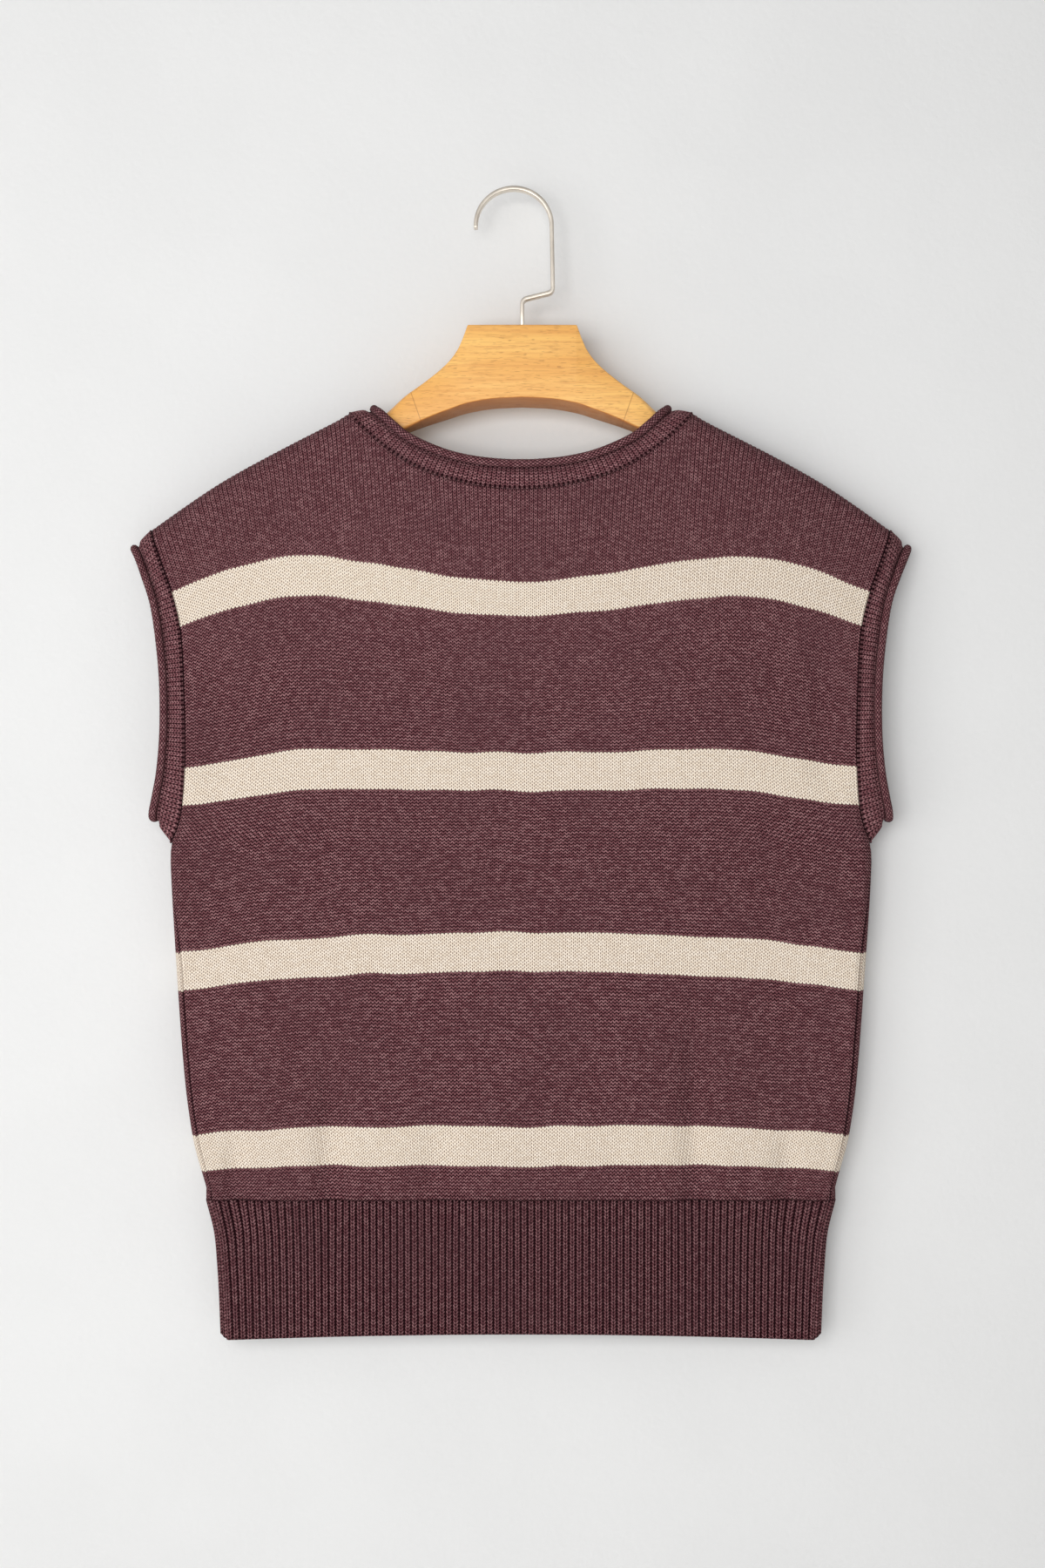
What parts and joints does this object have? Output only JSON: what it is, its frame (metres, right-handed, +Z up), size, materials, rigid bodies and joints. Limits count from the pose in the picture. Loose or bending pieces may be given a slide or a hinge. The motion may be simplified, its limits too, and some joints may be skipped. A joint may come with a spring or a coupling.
{
  "type": "short-sleeve sweater on a hanger",
  "caption": "Short-sleeve knitted sweater with a ribbed hem and rolled neck and arm bands, hanging on a wooden hanger with a flat metal hook.",
  "frame": {"origin": "inner top of the hook, where a rail carries it", "axes": "+Z up; -Y is the sweater's back, the side in the picture; +X to the right as seen from -Y"},
  "size_m": [0.5592, 0.0538, 0.818],
  "materials": {
    "plum_knit": "matte knit in a wool blend",
    "beech": "satin lacquer",
    "hook_metal": "satin, warm grey"
  },
  "bodies": {
    "root": {"back_panel": "plum_knit", "front_panel": "plum_knit", "back_hem_rib": "plum_knit", "front_hem_rib": "plum_knit", "neck_band": "plum_knit", "neck_rolled_edge": "plum_knit", "left_arm_band": "plum_knit", "left_arm_rolled_edge": "plum_knit", "right_arm_band": "plum_knit", "right_arm_rolled_edge": "plum_knit", "hanger_body": "beech", "hook": "hook_metal"}
  },
  "joints": []
}
